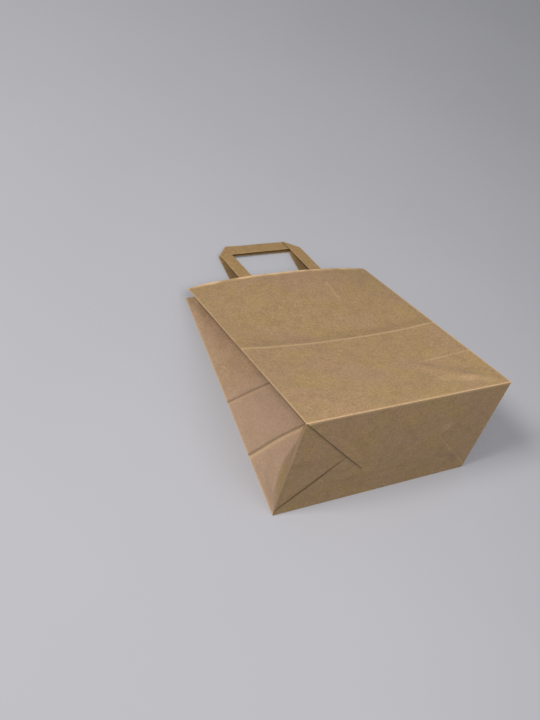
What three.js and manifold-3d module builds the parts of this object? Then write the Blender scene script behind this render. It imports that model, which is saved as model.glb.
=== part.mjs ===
// Kraft paper carrier bag with two flat tape handles, lying on its back panel.
// One folded sheet makes the front, back, gussets and block bottom. The base is open to its
// full depth and the mouth is nearly closed, so the bag is a wedge.
// Millimetres. X runs across the bag, Y from the base to the mouth, +Z up. The origin is the
// middle of the footprint, at floor level.

import * as THREE from 'three';
import { mergeVertices } from 'three/addons/utils/BufferGeometryUtils.js';
import Module from 'manifold-3d';

// The folded sheet
const bagWidth = 305;
const bagDepth = 170;
const bagHeight = 345;
const paper = 0.16;
const mouthGap = 17.4;
const beltCrease = 166;
const frontFlapLength = 112;
const backFlapLength = 100;
const seamOverlap = 18;
const seamInset = 6;

// How the panels stand away from flat
const mouthBow = 9.5;
const beltSink = 8;
const bowFlatness = 2.4;
const gussetSwell = 4;
const creaseSetback = 10.8;

// Handles and the patches that are glued over their legs
const tapeWidth = 20;
const tapeThickness = 0.7;
const handleSpan = 141;
const legGlued = 48;
const foldRamp = 10;
const mouthBend = 12;
const patchMargin = 9;
const patchHeight = 56;
const patchInset = 3;
const patchRamp = 1.5;
const frontHandle = { shift: 1.5, lean: -10, rise: 81.6, tilt: 0.017 };
const backHandle = { shift: -1.5, lean: -5, rise: 85.6, tilt: -0.012 };

// Fits
const clearance = 0.3;
const bond = 0.03;

// Mesh steps
const foldSteps = 8;
const beltSteps = 5;
const upperSteps = 12;
const frontSteps = 14;
const backSteps = 8;
const legSteps = 16;
const barSteps = 12;
const mergeWithin = 1e-5;

// Worked out from the sizes above
const gussetHalf = bagDepth / 2;
const halfWedge = Math.asin((bagDepth - mouthGap) / 2 / bagHeight);
const panelSlope = 2 * halfWedge;
const midX = bagWidth / 2;

const smooth = (value) => {
  const t = Math.min(Math.max(value, 0), 1);
  return t * t * (3 - 2 * t);
};
const mix = (a, b, t) => a + (b - a) * t;

// Long edges of the left side. s is the distance along a panel from the base.
function backEdge(s) {
  return new THREE.Vector3(0, s, 0);
}

function frontEdge(s) {
  return new THREE.Vector3(
    0,
    bagDepth * Math.sin(halfWedge) + s * Math.cos(panelSlope),
    bagDepth * Math.cos(halfWedge) - s * Math.sin(panelSlope)
  );
}

// The wedge is the same above and below its middle plane.
function mirrorInMiddle(point) {
  const along = new THREE.Vector3(0, Math.cos(halfWedge), -Math.sin(halfWedge));
  const start = frontEdge(0).multiplyScalar(0.5);
  const rel = point.clone().sub(start);
  const inPlane = along.multiplyScalar(rel.dot(along));
  inPlane.x = rel.x;
  return inPlane.multiplyScalar(2).sub(rel).add(start);
}

// The gusset's middle crease. Both halves keep their true width, so it moves inwards as the
// edges come together. It lies a little behind the line between the edges, by as much as the
// base fold sets it back at the low crease and by creaseSetback at the mouth.
function middleCrease(s) {
  const back = backEdge(s);
  const front = frontEdge(s);
  const foldPoint = gussetHalf * (1 - Math.sin(halfWedge)) / Math.cos(halfWedge);
  const foldSetback = gussetHalf * Math.cos(halfWedge) - foldPoint;
  const rise = (s - gussetHalf) / (bagHeight - gussetHalf);
  const setback = mix(foldSetback, creaseSetback, rise);
  const halfGap = back.distanceTo(front) / 2;
  const inward = Math.sqrt(Math.max(gussetHalf ** 2 - halfGap ** 2 - setback ** 2, 1));
  return back.add(front).multiplyScalar(0.5).add(new THREE.Vector3(
    inward,
    -setback * Math.cos(halfWedge),
    setback * Math.sin(halfWedge)
  ));
}

// Back half of the left gusset. u runs from the back edge to the middle crease. Below the low
// crease the half is cut by the 45 degree fold of the block bottom, where u equals s.
function gussetBackHalf(u, s) {
  const apex = middleCrease(gussetHalf);
  if (s >= gussetHalf) {
    const point = backEdge(s).lerp(middleCrease(s), u / gussetHalf);
    const rise = (s - gussetHalf) / (bagHeight - gussetHalf);
    point.z += gussetSwell * Math.sin(Math.PI * u / gussetHalf) * Math.sin(Math.PI * rise);
    return point;
  }
  if (u <= s) {
    const across = apex.sub(backEdge(gussetHalf)).divideScalar(gussetHalf);
    return backEdge(s).addScaledVector(across, u);
  }
  const baseLine = frontEdge(0).divideScalar(bagDepth);
  const up = apex.addScaledVector(baseLine, -gussetHalf).divideScalar(gussetHalf);
  return baseLine.multiplyScalar(u).addScaledVector(up, s);
}

// How far the front panel stands out of its plane: sunk at the belt crease, bowed out at the
// mouth, flat along the base and along both side edges.
function frontBow(x, s) {
  const across = 1 - Math.abs(2 * x / bagWidth - 1) ** bowFlatness;
  const sink = -beltSink * Math.sin(Math.PI * Math.min(s / beltCrease, 1) / 2);
  const lift = smooth((s - beltCrease) / (bagHeight - beltCrease));
  return across * mix(sink, mouthBow, lift);
}

function frontPanel(x, s) {
  const point = frontEdge(s);
  const bow = frontBow(x, s);
  point.x = x;
  point.y += bow * Math.sin(panelSlope);
  point.z += bow * Math.cos(panelSlope);
  return point;
}

// A closed solid of one thickness around a surface of triangles that face outwards.
function thicken(points, triangles, thickness) {
  const normals = points.map(() => []);
  const edges = new Map();
  for (const [a, b, c] of triangles) {
    const n = new THREE.Vector3().crossVectors(
      points[b].clone().sub(points[a]),
      points[c].clone().sub(points[a])
    ).normalize();
    for (const vertex of [a, b, c]) {
      normals[vertex].push(n);
    }
    for (const [from, to] of [[a, b], [b, c], [c, a]]) {
      edges.set(`${from},${to}`, [from, to]);
    }
  }
  const offsets = normals.map((faceNormals) => mitre(faceNormals, thickness / 2));
  const count = points.length;
  const outer = points.map((p, i) => p.clone().add(offsets[i]));
  const inner = points.map((p, i) => p.clone().sub(offsets[i]));
  const faces = [];
  for (const [a, b, c] of triangles) {
    faces.push([a, b, c], [c + count, b + count, a + count]);
  }
  for (const [from, to] of edges.values()) {
    if (!edges.has(`${to},${from}`)) {
      faces.push([to, from, from + count], [to, from + count, to + count]);
    }
  }
  return geometryOf([...outer, ...inner], faces);
}

// The step from the middle of the sheet to its face at a vertex. The faces around it are
// taken panel by panel, and the step is longer at a fold, where panels meet at an angle, but
// never longer than longestMitre half thicknesses.
function mitre(faceNormals, half) {
  const longestMitre = 4;
  const samePanel = 0.9;
  const panels = [];
  for (const n of faceNormals) {
    const panel = panels.find((sum) => sum.clone().normalize().dot(n) > samePanel);
    if (panel) {
      panel.add(n);
    } else {
      panels.push(n.clone());
    }
  }
  panels.forEach((sum) => sum.normalize());
  const mean = panels.reduce((sum, n) => sum.add(n), new THREE.Vector3()).normalize();
  const closest = Math.min(...panels.map((n) => n.dot(mean)));
  return mean.multiplyScalar(half / Math.max(closest, 1 / longestMitre));
}

function geometryOf(points, faces) {
  const geometry = new THREE.BufferGeometry();
  const positions = points.flatMap((p) => [p.x, p.y, p.z]);
  geometry.setAttribute('position', new THREE.Float32BufferAttribute(positions, 3));
  geometry.setIndex(faces.flat());
  return geometry;
}

// A solid between two levels over a grid. at(i, j, level) gives the point, level is 0 or 1.
function gridSolid(across, along, at) {
  const points = [];
  const faces = [];
  const index = (i, j, level) => (level * (along + 1) + j) * (across + 1) + i;
  for (const level of [0, 1]) {
    for (let j = 0; j <= along; j += 1) {
      for (let i = 0; i <= across; i += 1) {
        points.push(at(i / across, j / along, level));
      }
    }
  }
  const quad = (a, b, c, d) => faces.push([a, b, c], [a, c, d]);
  for (let j = 0; j < along; j += 1) {
    for (let i = 0; i < across; i += 1) {
      quad(index(i, j, 1), index(i + 1, j, 1), index(i + 1, j + 1, 1), index(i, j + 1, 1));
      quad(index(i, j, 0), index(i, j + 1, 0), index(i + 1, j + 1, 0), index(i + 1, j, 0));
    }
  }
  for (let i = 0; i < across; i += 1) {
    quad(index(i, 0, 0), index(i + 1, 0, 0), index(i + 1, 0, 1), index(i, 0, 1));
    quad(index(i + 1, along, 0), index(i, along, 0), index(i, along, 1), index(i + 1, along, 1));
  }
  for (let j = 0; j < along; j += 1) {
    quad(index(0, j + 1, 0), index(0, j, 0), index(0, j, 1), index(0, j + 1, 1));
    quad(index(across, j, 0), index(across, j + 1, 0), index(across, j + 1, 1), index(across, j, 1));
  }
  return geometryOf(points, faces);
}

const wasm = await Module();
wasm.setup();

function volumeOf(mesh) {
  const p = mesh.vertProperties;
  const corner = (v) => new THREE.Vector3(p[3 * v], p[3 * v + 1], p[3 * v + 2]);
  let volume = 0;
  for (let t = 0; t < mesh.triVerts.length; t += 3) {
    const [a, b, c] = [0, 1, 2].map((k) => corner(mesh.triVerts[t + k]));
    volume += a.dot(b.cross(c)) / 6;
  }
  return volume;
}

// A closed geometry as a solid with its faces pointing out.
function solidOf(geometry) {
  const merged = mergeVertices(geometry, mergeWithin);
  const vertProperties = new Float32Array(merged.attributes.position.array);
  const triVerts = new Uint32Array(merged.index.array);
  if (volumeOf({ vertProperties, triVerts }) < 0) {
    triVerts.reverse();
  }
  return new wasm.Manifold(new wasm.Mesh({ numProp: 3, vertProperties, triVerts }));
}

function geometryFrom(solid) {
  const mesh = solid.getMesh();
  const geometry = new THREE.BufferGeometry();
  geometry.setAttribute('position', new THREE.BufferAttribute(new Float32Array(mesh.vertProperties), 3));
  geometry.setIndex(new THREE.BufferAttribute(new Uint32Array(mesh.triVerts), 1));
  return geometry;
}

// Distances along the panels where the sheet has a row of vertices.
function rowStations() {
  const rows = [];
  const stretch = (from, to, steps) => {
    for (let i = 0; i < steps; i += 1) {
      rows.push(mix(from, to, i / steps));
    }
  };
  stretch(0, gussetHalf, foldSteps);
  stretch(gussetHalf, beltCrease, beltSteps);
  stretch(beltCrease, bagHeight, upperSteps);
  rows.push(bagHeight);
  return rows;
}

// One way round the bag: front, right gusset, back, left gusset. Each stretch gives a point
// from its own fraction and s, and says whether its 45 degree folds run with the grid.
function girth() {
  const toRight = (p) => new THREE.Vector3(bagWidth - p.x, p.y, p.z);
  const backHalf = (t, s) => gussetBackHalf(t * gussetHalf, s);
  const frontHalf = (t, s) => mirrorInMiddle(backHalf(t, s));
  return [
    { steps: frontSteps, at: (t, s) => frontPanel(t * bagWidth, s), withGrid: true },
    { steps: foldSteps, at: (t, s) => toRight(frontHalf(t, s)), withGrid: true },
    { steps: foldSteps, at: (t, s) => toRight(backHalf(1 - t, s)), withGrid: false },
    { steps: backSteps, at: (t, s) => new THREE.Vector3((1 - t) * bagWidth, s, 0), withGrid: true },
    { steps: foldSteps, at: (t, s) => backHalf(t, s), withGrid: true },
    { steps: foldSteps, at: (t, s) => frontHalf(1 - t, s), withGrid: false },
  ];
}

// The tube of the bag with its innermost base layer, as one sheet.
function bagShell() {
  const rows = rowStations();
  const points = [];
  const columns = [];
  for (const stretch of girth()) {
    for (let i = 0; i < stretch.steps; i += 1) {
      columns.push({ t: i / stretch.steps, ...stretch });
    }
  }
  for (const s of rows) {
    for (const column of columns) {
      points.push(column.at(column.t, s));
    }
  }
  const triangles = [];
  const round = columns.length;
  for (let j = 0; j < rows.length - 1; j += 1) {
    for (let i = 0; i < round; i += 1) {
      const next = (i + 1) % round;
      const [a, b] = [j * round + i, j * round + next];
      const [c, d] = [b + round, a + round];
      if (columns[i].withGrid) {
        triangles.push([a, b, c], [a, c, d]);
      } else {
        triangles.push([a, b, d], [b, c, d]);
      }
    }
  }
  const centre = points.length;
  points.push(basePoint(midX, gussetHalf, 0));
  for (let i = 0; i < round; i += 1) {
    triangles.push([(i + 1) % round, i, centre]);
  }
  return thicken(points, triangles, paper);
}

// A point of the base. v runs from the back edge to the front edge, q outwards.
function basePoint(x, v, q) {
  return new THREE.Vector3(
    x,
    v * Math.sin(halfWedge) - q * Math.cos(halfWedge),
    v * Math.cos(halfWedge) + q * Math.sin(halfWedge)
  );
}

// A base flap: it narrows at 45 degrees from both corners of its hinge edge. layers is how
// many sheets of paper lie over the innermost one at its free end.
function baseFlap(hinge, towards, length, layers) {
  return gridSolid(1, 1, (t, along, level) => {
    const reach = along * length;
    const x = mix(reach, bagWidth - reach, t);
    const q = level === 0 ? paper / 2 - bond : paper * (layers + 0.5);
    return basePoint(x, hinge + towards * reach, q);
  });
}

// The glued seam along the tube, on the inside of the back panel.
function seamStrip() {
  return gridSolid(1, 1, (t, along, level) => new THREE.Vector3(
    seamInset + t * seamOverlap,
    mix(seamInset, bagHeight - patchInset, along),
    level === 0 ? paper / 2 - bond : paper * 1.5
  ));
}

function bagBody() {
  return [
    baseFlap(0, 1, backFlapLength, 1),
    baseFlap(bagDepth, -1, frontFlapLength, 2),
    seamStrip(),
  ].reduce((solid, piece) => solid.add(solidOf(piece)), solidOf(bagShell()));
}

// Places for handle parts: x across the bag, r out of the mouth, q from the panel inwards.
// A handle leans to one side, and its bar is tilted, so one leg is a little the longer.
function tilted(handle, x, r) {
  const share = Math.min(Math.max(r / (handle.rise - tapeWidth), 0), 1);
  return r + handle.tilt * (x - midX) * share;
}

function leaned(handle, x, r) {
  return x + handle.lean * Math.max(r, 0) / handle.rise;
}

function placeOnBack(x, reach, q) {
  const r = tilted(backHandle, x, reach);
  return new THREE.Vector3(leaned(backHandle, x, r), bagHeight + r, paper / 2 + clearance + q);
}

// The front handle follows the panel inside the bag, bends at the mouth and then runs
// straight at its own droop.
function placeOnFront(x, reach, q, droop = frontDroop) {
  const r = tilted(frontHandle, x, reach);
  const legOut = frontHandle.rise - tapeWidth;
  const turned = Math.min(Math.max(r, 0), mouthBend) / mouthBend;
  const angle = mix(panelSlope, droop, turned);
  const radius = mouthBend / (panelSlope - droop);
  const bent = r > 0 ? 1 : 0;
  const straight = r > 0 ? Math.max(r - mouthBend, 0) : r;
  const out = bent * radius * (Math.sin(panelSlope) - Math.sin(angle)) + straight * Math.cos(angle);
  const down = bent * radius * (Math.cos(angle) - Math.cos(panelSlope)) + straight * Math.sin(angle);
  const flatBow = frontBow(midX + handleSpan / 2 - tapeWidth / 2, bagHeight);
  const bow = mix(frontBow(x, bagHeight + Math.min(r, 0)), flatBow, smooth(r / legOut));
  const lift = bow - paper / 2 - clearance - q;
  const edge = frontEdge(bagHeight);
  return new THREE.Vector3(
    leaned(frontHandle, x, r),
    edge.y + out + lift * Math.sin(angle),
    edge.z - down + lift * Math.cos(angle)
  );
}

// The droop at which the front handle's bar comes to lie on the back handle's bar, found by
// halving the range of angles. It stays under the slope of the panel.
function restingDroop() {
  const halvings = 40;
  const nearlyAll = 0.99;
  const bar = [midX, frontHandle.rise, 2 * tapeThickness];
  const rest = placeOnBack(...bar).z + clearance;
  let low = 0;
  let high = panelSlope * nearlyAll;
  for (let i = 0; i < halvings; i += 1) {
    const droop = (low + high) / 2;
    if (placeOnFront(...bar, droop).z > rest) {
      low = droop;
    } else {
      high = droop;
    }
  }
  return low;
}

const frontDroop = restingDroop();

// Left edges of the two legs of a handle.
function legEdges(handle) {
  const left = midX - handleSpan / 2 + handle.shift;
  return [left, left + handleSpan - tapeWidth];
}

// A handle is one flat tape, folded over at 45 degrees at both corners, so that each corner
// has two layers in a triangle. under is the side whose leg is folded beneath the bar, and
// at the other side the bar is beneath the leg.
function handleSolid(handle, place, under) {
  const [left, right] = legEdges(handle);
  const inner = handle.rise - tapeWidth;
  const step = tapeThickness - bond;
  const layered = (x, r, low, level) => place(x, r, low + level * tapeThickness);
  const leg = (edge, side) => gridSolid(2, legSteps, (t, along, level) => {
    const x = edge + t * tapeWidth;
    const outwards = side === 'left' ? t : 1 - t;
    const r = mix(-legGlued, inner + outwards * tapeWidth, along);
    const low = side === under ? step * smooth((r - inner + foldRamp) / foldRamp) : 0;
    return layered(x, r, low, level);
  });
  const bar = gridSolid(barSteps, 2, (t, up, level) => {
    const cut = up * tapeWidth;
    const x = mix(left + cut, right + tapeWidth - cut, t);
    const fromOver = under === 'left'
      ? right - x
      : x - left - tapeWidth;
    const low = step * (1 - smooth(fromOver / foldRamp));
    return layered(x, inner + cut, low, level);
  });
  return solidOf(leg(left, 'left')).add(solidOf(bar)).add(solidOf(leg(right, 'right')));
}

// A patch of the same paper, glued over both legs. It lies on the panel and steps up over
// each leg.
function patchSolid(handle, place) {
  const [left, right] = legEdges(handle);
  const overLeg = (edge) => [
    edge - 2 * patchRamp,
    edge - patchRamp,
    edge + tapeWidth / 2,
    edge + tapeWidth + patchRamp,
    edge + tapeWidth + 2 * patchRamp,
  ];
  const between = [1, 2, 3].map((quarter) => mix(left + tapeWidth, right, quarter / 4));
  const ends = [left - patchMargin, right + tapeWidth + patchMargin];
  const columns = [ends[0], ...overLeg(left), ...between, ...overLeg(right), ends[1]];
  const foot = -patchInset - patchHeight;
  const belowLeg = -legGlued - patchRamp;
  const rows = [foot, belowLeg - patchRamp, belowLeg, -legGlued / 2, -patchInset];
  const slack = patchRamp / 100;
  const reach = tapeWidth / 2 + patchRamp + slack;
  const lift = (x, r) => {
    const onLeg = [left, right].some((edge) => Math.abs(x - edge - tapeWidth / 2) < reach);
    return onLeg && r > belowLeg - slack ? tapeThickness + clearance : 0;
  };
  return solidOf(gridSolid(columns.length - 1, rows.length - 1, (t, along, level) => {
    const x = columns[Math.round(t * (columns.length - 1))];
    const r = rows[Math.round(along * (rows.length - 1))];
    return place(x, r, lift(x, r) + level * paper);
  }));
}

const kraft = new THREE.MeshStandardMaterial({ color: 0xa9875e, roughness: 0.85, metalness: 0 });
const kraftTape = new THREE.MeshStandardMaterial({ color: 0xb08c5c, roughness: 0.8, metalness: 0 });
const kraftInside = new THREE.MeshStandardMaterial({ color: 0xb39269, roughness: 0.9, metalness: 0 });

const group = new THREE.Group();

function addPiece(name, solid, material) {
  const mesh = new THREE.Mesh(geometryFrom(solid), material);
  mesh.name = name;
  group.add(mesh);
}

addPiece('bag_body', bagBody(), kraft);
addPiece('handle_front', handleSolid(frontHandle, placeOnFront, 'left'), kraftTape);
addPiece('handle_back', handleSolid(backHandle, placeOnBack, 'right'), kraftTape);
addPiece('patch_front', patchSolid(frontHandle, placeOnFront), kraftInside);
addPiece('patch_back', patchSolid(backHandle, placeOnBack), kraftInside);

// The origin goes to the middle of the footprint, at floor level.
const bounds = new THREE.Box3().setFromObject(group);
const middle = bounds.getCenter(new THREE.Vector3());
group.position.set(-middle.x, -middle.y, -bounds.min.z);

export default group;
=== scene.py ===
"""Kraft paper carrier bag lying on its back panel, with two flat tape handles.

One folded sheet makes the panels, the gussets and the block bottom. Each surface is worked out
from the bag's own sizes on a grid of paper distances: x across the bag, s up a panel from the
base, u from a long edge into a gusset, v up the base from the back edge, r out of the mouth,
and q through the layers. Sizes are in millimetres until a mesh is made.
"""
import math
from collections import namedtuple

import bpy
import numpy as np
from mathutils import Matrix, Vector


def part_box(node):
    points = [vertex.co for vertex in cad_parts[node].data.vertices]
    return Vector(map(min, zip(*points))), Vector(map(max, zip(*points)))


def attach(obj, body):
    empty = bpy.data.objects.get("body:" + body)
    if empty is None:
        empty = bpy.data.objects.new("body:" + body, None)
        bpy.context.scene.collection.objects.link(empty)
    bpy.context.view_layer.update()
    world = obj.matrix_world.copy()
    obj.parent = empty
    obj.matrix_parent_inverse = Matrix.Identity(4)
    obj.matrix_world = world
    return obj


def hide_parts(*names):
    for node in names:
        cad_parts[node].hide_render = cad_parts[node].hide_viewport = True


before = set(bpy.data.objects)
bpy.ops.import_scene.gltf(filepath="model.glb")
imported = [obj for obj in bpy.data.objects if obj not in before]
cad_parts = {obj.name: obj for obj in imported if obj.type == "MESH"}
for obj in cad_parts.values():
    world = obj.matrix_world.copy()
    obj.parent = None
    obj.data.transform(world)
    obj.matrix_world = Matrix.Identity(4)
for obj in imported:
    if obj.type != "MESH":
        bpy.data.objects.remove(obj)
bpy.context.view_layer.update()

MM = 0.001

# The folded sheet
BAG_WIDTH = 305.0
BAG_DEPTH = 170.0
BAG_HEIGHT = 345.0
PAPER = 0.16
MOUTH_GAP = 17.4
BELT_CREASE = 166.0
GUSSET_HALF = BAG_DEPTH / 2
MID_X = BAG_WIDTH / 2
HALF_WEDGE = math.asin((BAG_DEPTH - MOUTH_GAP) / 2 / BAG_HEIGHT)
PANEL_SLOPE = 2 * HALF_WEDGE

# How the panels stand away from flat
MOUTH_BOW = 9.5
BELT_SINK = 8.0
BOW_FLATNESS = 2.4
GUSSET_SWELL = 4.0
CREASE_SETBACK = 10.8

# Handles and patches. Shift is a handle's place across the bag, rise how far it stands out of
# the mouth, lean how far its bar is moved sideways, and tilt the slope of its bar.
Handle = namedtuple("Handle", "shift rise lean tilt")
FRONT_HANDLE = Handle(shift=1.5, rise=81.6, lean=-10.0, tilt=0.017)
BACK_HANDLE = Handle(shift=-1.5, rise=85.6, lean=-5.0, tilt=-0.012)
TAPE_WIDTH = 20.0
TAPE_THICKNESS = 0.7
HANDLE_SPAN = 141.0
LEG_GLUED = 48.0
FOLD_RAMP = 10.0
MOUTH_BEND = 12.0
PATCH_MARGIN = 9.0
PATCH_HEIGHT = 56.0
PATCH_INSET = 3.0
PATCH_RAMP = 1.5
CLEARANCE = 0.3

X_AXIS = np.array([1.0, 0.0, 0.0])
ALONG_FRONT = np.array([0.0, math.cos(PANEL_SLOPE), -math.sin(PANEL_SLOPE)])
OUT_OF_FRONT = np.array([0.0, math.sin(PANEL_SLOPE), math.cos(PANEL_SLOPE)])
UP_BASE = np.array([0.0, math.sin(HALF_WEDGE), math.cos(HALF_WEDGE)])
OUT_OF_BASE = np.array([0.0, -math.cos(HALF_WEDGE), math.sin(HALF_WEDGE)])

# The bag frame's origin, the back left corner of the base, in the part's own frame. The
# lowest y is the outer face of the back flap at its hinge.
HALF_STACK = 1.5 * PAPER
body_low, body_high = (np.array(corner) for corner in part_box("bag_body"))
ORIGIN = np.array([
    (body_low[0] + body_high[0]) / 2 - MID_X * MM,
    body_low[1] + HALF_STACK * math.cos(HALF_WEDGE) * MM,
    body_low[2] + PAPER / 2 * MM,
])


def smooth(value):
    """Three t squared less two t cubed, with t held between 0 and 1."""
    t = np.clip(value, 0.0, 1.0)
    return t * t * (3 - 2 * t)


def mix(a, b, t):
    """The value a fraction t of the way from a to b."""
    return a + (b - a) * t


def bell(value, width):
    """A bell curve of height 1 whose half width at 0.6 of the height is width."""
    return np.exp(-0.5 * (value / width) ** 2)


def crease(off, fold):
    """A crease with a true edge, where fold is (height, reach): its height times e to the minus
    distance over reach."""
    height, reach = fold
    return height * np.exp(-np.abs(off) / reach)


def from_rim(place, size):
    """Distance of a place between 0 and size from the nearer end."""
    return np.minimum(place, size - place)


def points_of(x, y, z):
    """Three arrays as one array of points."""
    return np.stack(np.broadcast_arrays(x, y, z), axis=-1).astype(float)


def stations(places, steps):
    """Distances along a line, with a number of even steps from each place to the next."""
    parts = [np.linspace(a, b, n, endpoint=False) for a, b, n in zip(places, places[1:], steps)]
    return np.concatenate(parts + [np.array(places[-1:])])


def soft_ridges(ridges, a, b):
    """Sum of soft ridges over the plane (a, b).

    A ridge is (start, end, width, height). It is the height times a bell curve of the distance
    from its line, times a smooth fade that takes a fifth of its length round either end.
    """
    total = np.zeros(np.broadcast(a, b).shape)
    for (a0, b0), (a1, b1), width, height in ridges:
        length = math.hypot(a1 - a0, b1 - b0)
        along = ((a - a0) * (a1 - a0) + (b - b0) * (b1 - b0)) / length**2
        off = ((a - a0) * (b1 - b0) - (b - b0) * (a1 - a0)) / length
        fade = smooth((along + 0.1) * 5) * smooth((1.1 - along) * 5)
        total += height * bell(off, width) * fade
    return total


WAVES = 6


def waviness(a, b, size, height, seed):
    """Gentle unevenness of paper: six sine waves of about one size, in seeded directions."""
    rng = np.random.default_rng(seed)
    total = np.zeros(np.broadcast(a, b).shape)
    angles = rng.uniform(0, math.pi, WAVES)
    phases = rng.uniform(0, 2 * math.pi, WAVES)
    stretches = rng.uniform(0.7, 1.5, WAVES)
    for angle, phase, stretch in zip(angles, phases, stretches):
        wave = (a * math.cos(angle) + b * math.sin(angle)) / (size * stretch)
        total += np.sin(2 * math.pi * wave + phase)
    return height * total / WAVES


# Front and back panels

BELT_AT_LEFT, BELT_AT_RIGHT = 170.0, 164.0
BELT_FOLD = (0.9, 14.0)
LOW_LINE = GUSSET_HALF - 1.5
LOW_FOLD = (0.35, 9.0)
LOW_START, LOW_FADE = 190.0, 60.0
MOUTH_CURL, CURL_LENGTH, CURL_START = 1.0, 4.0, 30.0
FRONT_RIM = 12.0
FRONT_RIDGES = [
    ((212, 74), (270, 24), 5.5, 1.5),
    ((250, 34), (300, 8), 5.0, 1.0),
    ((228, 84), (280, 46), 8.0, -0.7),
    ((204, 262), (208, 306), 1.6, 0.22),
    ((170, 298), (172, 340), 5.0, -0.35),
    ((281, 268), (283, 338), 6.0, -0.5),
    ((84, 246), (118, 322), 15.0, 0.7),
    ((30, 208), (150, 186), 12.0, -0.5),
    ((40, 30), (150, 52), 16.0, 0.5),
    ((62, 75), (104, 74), 1.2, 0.10),
]

BACK_RIM = 20.0
BACK_FOLD = (0.5, 12.0)
BACK_LIFT = 0.25


def front_edge(s):
    """Left edge of the front panel: it leaves the top of the base at the wedge's angle."""
    start = BAG_DEPTH * UP_BASE
    return start + np.asarray(s)[..., None] * ALONG_FRONT


def front_bow(x, s):
    """Height of the front panel over its plane.

    Across, it is one less the distance from the middle to the power BOW_FLATNESS. Along, it
    sinks by a sine to the belt crease and rises by a smooth step to the mouth.
    """
    across = 1 - np.abs(2 * x / BAG_WIDTH - 1) ** BOW_FLATNESS
    sink = -BELT_SINK * np.sin(np.pi * np.minimum(s / BELT_CREASE, 1) / 2)
    lift = smooth((s - BELT_CREASE) / (BAG_HEIGHT - BELT_CREASE))
    return across * mix(sink, MOUTH_BOW, lift)


def belt_line(x):
    """Where the belt crease crosses the front panel: it drops a little from left to right."""
    return mix(BELT_AT_LEFT, BELT_AT_RIGHT, x / BAG_WIDTH)


def front_panel(x, s):
    """The front panel: its plane, the bow, the belt crease, the low crease and soft ridges.

    The low crease shows on the right only. The mouth edge curls up by a square of the distance
    over the last few millimetres.
    """
    inside = smooth(from_rim(x, BAG_WIDTH) / FRONT_RIM) * smooth(s / FRONT_RIM)
    belt = crease(s - belt_line(x), BELT_FOLD)
    low = crease(s - LOW_LINE, LOW_FOLD) * smooth((x - LOW_START) / LOW_FADE)
    curl = np.clip((s - BAG_HEIGHT) / CURL_LENGTH + 1, 0, 1) ** 2
    waves = waviness(x, s, size=70, height=0.45, seed=4)
    shape = belt + low + soft_ridges(FRONT_RIDGES, x, s) + waves
    height = front_bow(x, s) + inside * shape + MOUTH_CURL * curl * smooth(x / CURL_START)
    return front_edge(s) + x[..., None] * X_AXIS + height[..., None] * OUT_OF_FRONT


def back_panel(x, s):
    """The back panel lies flat. Its belt crease stands a little way in, off the floor."""
    inside = smooth(from_rim(x, BAG_WIDTH) / BACK_RIM) * smooth(from_rim(s, BAG_HEIGHT) / BACK_RIM)
    waves = waviness(x, s, size=80, height=0.25, seed=9)
    lift = crease(s - BELT_CREASE, BACK_FOLD) + BACK_LIFT + waves
    return points_of(x, s, inside * lift)


# Gussets

GUSSET_BELT_FOLD = (-1.0, 9.0)
GUSSET_LOW_FOLD = (-1.3, 6.0)
GUSSET_LOW_END, GUSSET_LOW_FADE = 70.0, 30.0
GUSSET_RIM, GUSSET_MOUTH_RIM, GUSSET_BASE_RIM = 8.0, 12.0, 10.0
NORMAL_STEP = 0.5

# The soft roll of the 45 degree fold, and the paper drawn in round the fold's inner end
BACK_ROLL, FRONT_ROLL = 8.0, -4.0
ROLL_SOFTNESS = 17.0
ROLL_REACH = 1.35
ROLL_RIM = 20.0
SHARP_FOLD = (0.4, 10.0)
TUCK = np.array([5.0, -4.0 * math.cos(HALF_WEDGE), 4.0 * math.sin(HALF_WEDGE)])
TUCK_SIZE = 20.0

LEFT_BACK_RIDGES = [
    ((15, 244), (37, 200), 6.5, -1.6),
    ((30, 246), (58, 214), 9.0, 1.2),
    ((4, 96), (12, 84), 2.6, 0.9),
    ((20, 128), (60, 118), 14.0, 0.6),
    ((12, 320), (20, 232), 9.0, 2.0),
    ((8, 330), (12, 300), 6.0, 1.6),
]
RIGHT_BACK_RIDGES = [
    ((12, 252), (40, 214), 8.0, -0.9),
    ((30, 200), (60, 238), 9.0, 0.7),
    ((18, 112), (64, 124), 12.0, 0.5),
]
FRONT_HALF_RIDGES = [
    ((10, 230), (44, 206), 8.0, 0.6),
    ((20, 140), (60, 110), 12.0, 0.5),
]


def mirror_in_middle(points):
    """Points mirrored in the plane half way between the front and the back panel."""
    start = front_edge(np.zeros(1))[0] / 2
    along = np.array([0.0, math.cos(HALF_WEDGE), -math.sin(HALF_WEDGE)])
    rel = points - start
    in_plane = (rel @ along)[..., None] * along + rel[..., :1] * X_AXIS
    return start + 2 * in_plane - rel


def to_right(points):
    """Points of the left side mirrored to the right side."""
    return points * [-1, 1, 1] + [BAG_WIDTH, 0, 0]


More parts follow.
